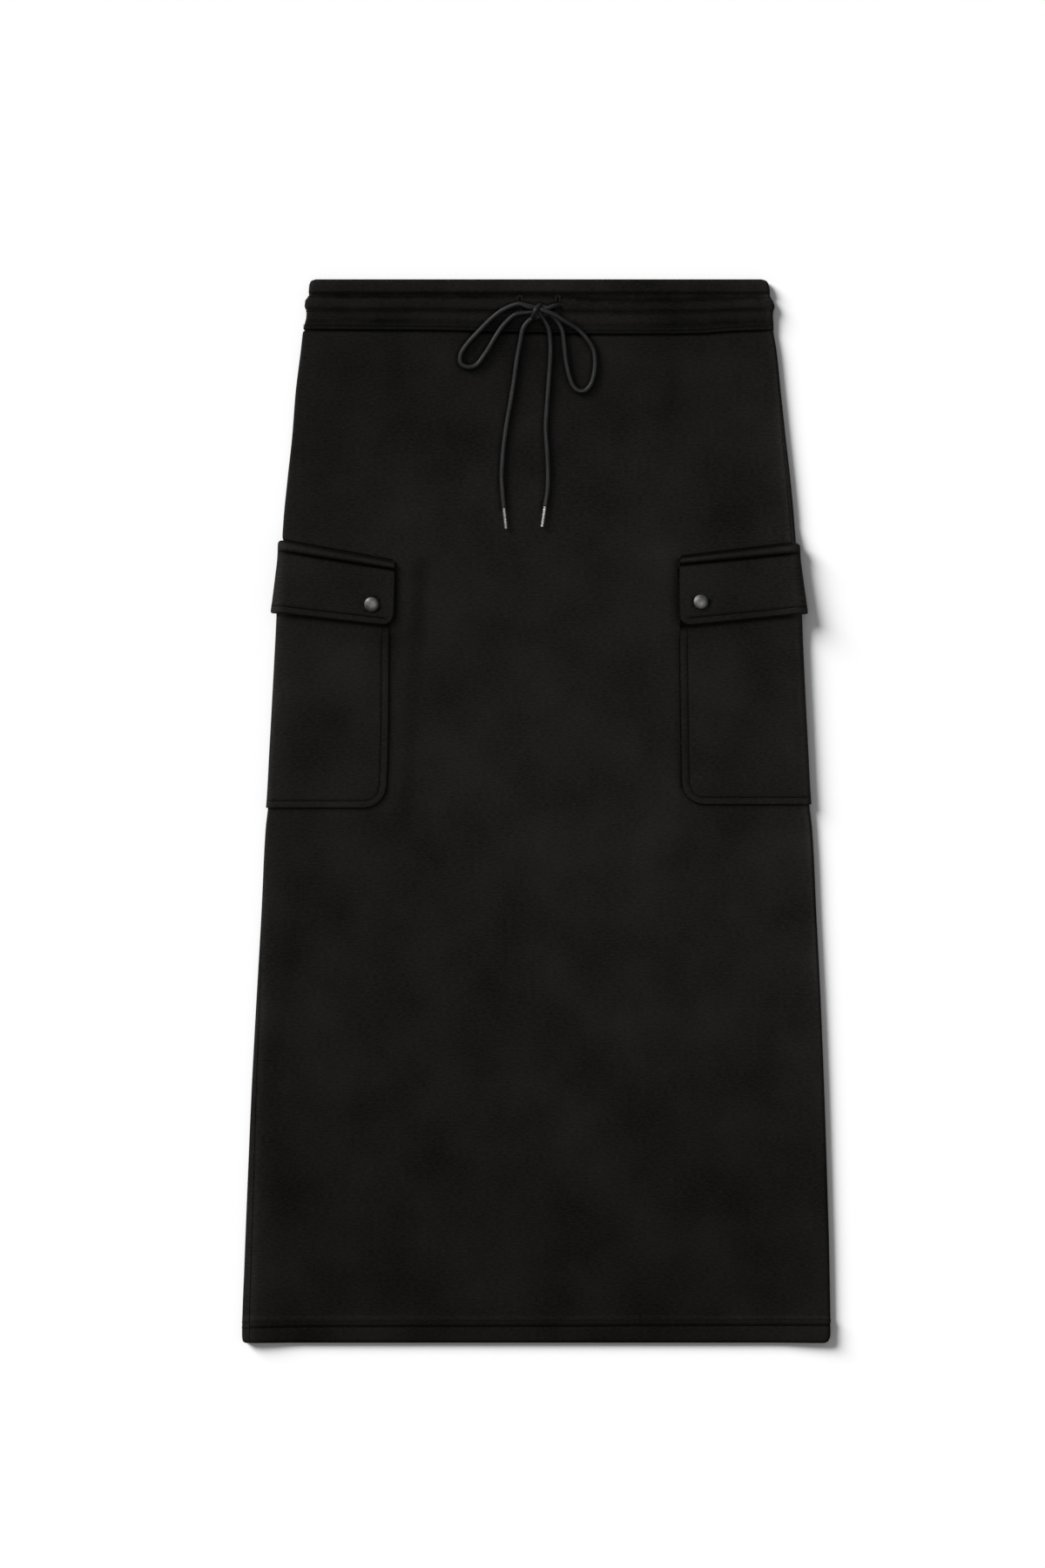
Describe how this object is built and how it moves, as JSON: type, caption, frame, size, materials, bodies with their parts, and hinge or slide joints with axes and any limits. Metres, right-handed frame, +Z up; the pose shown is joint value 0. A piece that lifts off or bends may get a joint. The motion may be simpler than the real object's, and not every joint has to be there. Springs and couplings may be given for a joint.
{
  "type": "cargo utility skirt",
  "caption": "Long A-line knit skirt laid flat, with an elastic waistband, a tied drawcord and flapped cargo pockets round its sides.",
  "frame": {"origin": "on the surface the skirt lies on, at the middle of its length and width", "axes": "+Y runs along the length to the waist, +X across the width, +Z up from the surface, out of the front"},
  "size_m": [0.5128, 0.9264, 0.0172],
  "materials": {
    "knit": "smooth matt black double knit",
    "braid": "charcoal braided cotton cord",
    "gunmetal": "satin gunmetal plating, lighter on its edges"
  },
  "bodies": {
    "root": {"front_panel": "knit", "back_panel": "knit", "waistband_front": "knit", "waistband_back": "knit", "pocket_left": "knit", "pocket_right": "knit", "flap_left": "knit", "flap_right": "knit", "snap_left": "gunmetal", "snap_right": "gunmetal", "cord_lead_left": "braid", "cord_lead_right": "braid", "cord_loop_left": "braid", "cord_loop_right": "braid", "cord_tail_left": "braid", "cord_tail_right": "braid", "cord_knot": "braid", "aglet_left": "gunmetal", "aglet_right": "gunmetal"}
  },
  "joints": []
}
